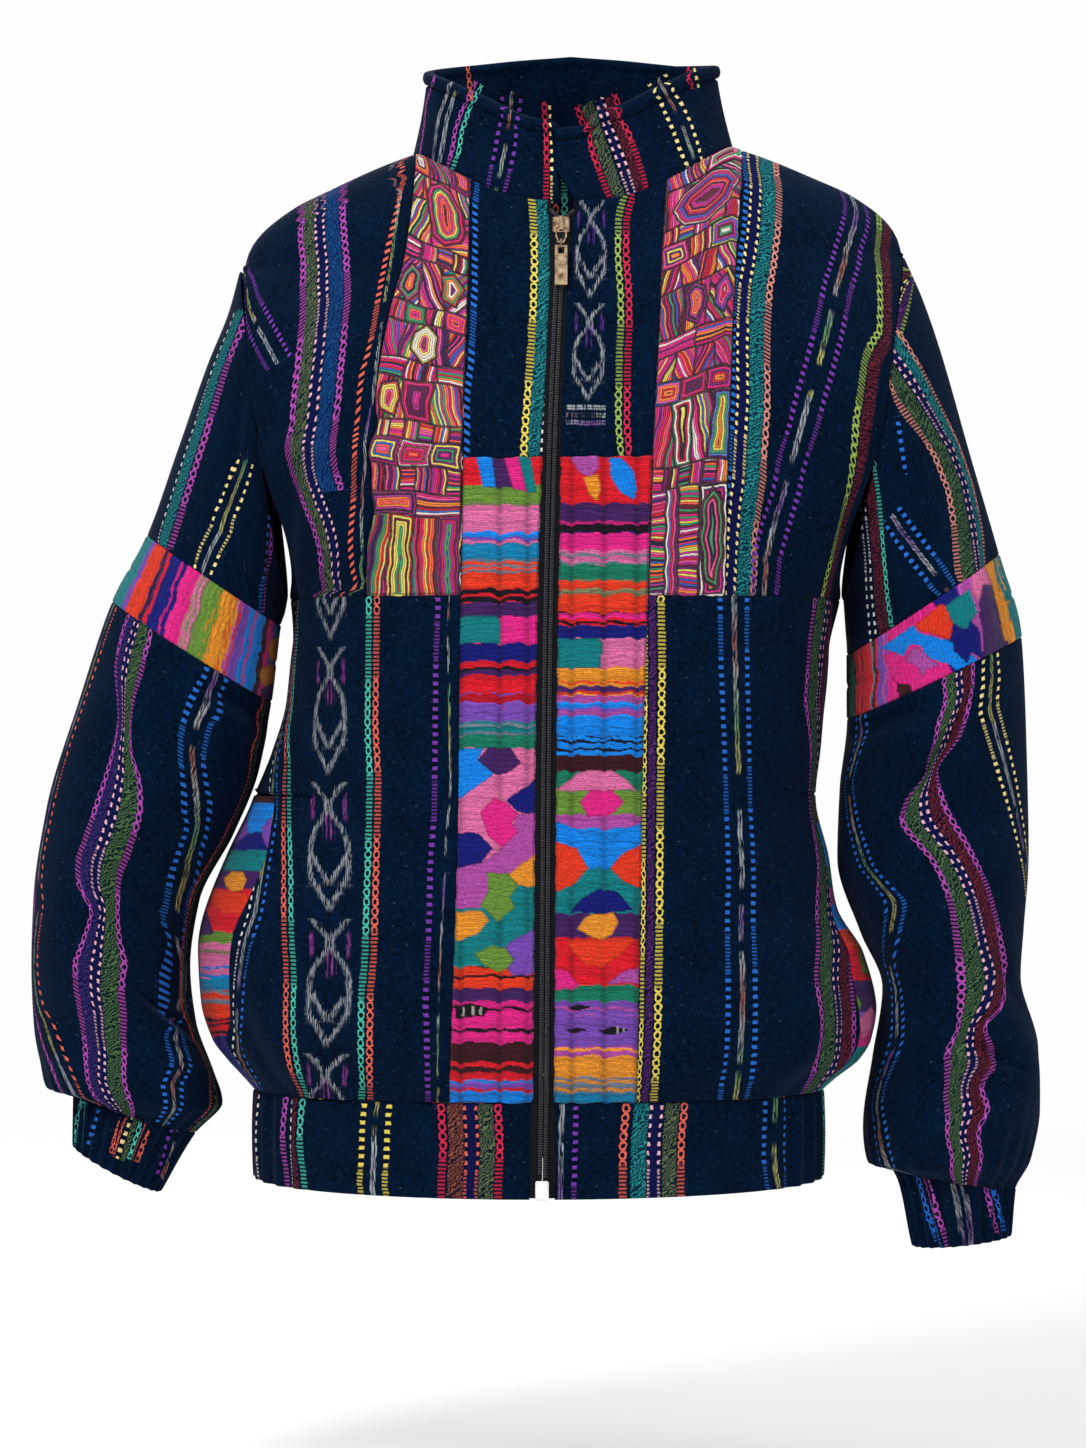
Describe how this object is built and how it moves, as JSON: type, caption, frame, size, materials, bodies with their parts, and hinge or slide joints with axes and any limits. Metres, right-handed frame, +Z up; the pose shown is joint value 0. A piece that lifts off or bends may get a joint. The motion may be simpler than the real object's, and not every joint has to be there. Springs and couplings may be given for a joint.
{
  "type": "zipped cotton jacket",
  "caption": "Navy ikat-stripe cotton zip jacket with stand collar, embroidered chest panels, brocade strips and sleeve bands.",
  "frame": {"origin": "centre of the wearer's neck base, in the middle between the side ends of the neck seam", "axes": "+X to the wearer's left, -Y to the front, +Z up through the neck"},
  "size_m": [0.642, 0.2786, 0.7667],
  "materials": {
    "navy_cloth": "matt handwoven cotton, navy with woven stripes",
    "embroidered_cloth": "dense silky embroidery",
    "brocade": "ribbed supplementary weave in many colours",
    "zip_tape": "black woven tape with a nylon coil",
    "aged_brass": "aged, engraved",
    "white_plastic": "moulded, smooth"
  },
  "bodies": {
    "jacket": {"chest_panel_right": "navy_cloth", "chest_panel_left": "navy_cloth", "shoulder_panel_right": "navy_cloth", "shoulder_panel_left": "navy_cloth", "lower_front_right": "navy_cloth", "lower_front_left": "navy_cloth", "back": "navy_cloth", "collar": "navy_cloth", "waistband": "navy_cloth", "upper_sleeve_right": "navy_cloth", "upper_sleeve_left": "navy_cloth", "lower_sleeve_right": "navy_cloth", "lower_sleeve_left": "navy_cloth", "cuff_right": "navy_cloth", "cuff_left": "navy_cloth", "embroidered_panel_right": "embroidered_cloth", "embroidered_panel_left": "embroidered_cloth", "brocade_strip_right": "brocade", "brocade_strip_left": "brocade", "sleeve_band_right": "brocade", "sleeve_band_left": "brocade", "pocket_facing_right": "brocade", "pocket_facing_left": "brocade", "zip_tape_right": "zip_tape", "zip_tape_left": "zip_tape", "zip_slider": "aged_brass", "zip_box": "white_plastic"},
    "pull_link": {"pull_link": "aged_brass"},
    "pull_tab": {"pull_tab": "aged_brass"}
  },
  "joints": [
    {"name": "link_swing", "type": "hinge", "parent": "jacket", "child": "pull_link", "pos_m": [-0.008, -0.0929, -0.0583], "axis": [-1, 0, 0], "range_deg": [0, 110]},
    {"name": "tab_swing", "type": "hinge", "parent": "pull_link", "child": "pull_tab", "pos_m": [-0.008, -0.09666, -0.06864], "axis": [-1, 0, 0], "range_deg": [0, 45]}
  ]
}
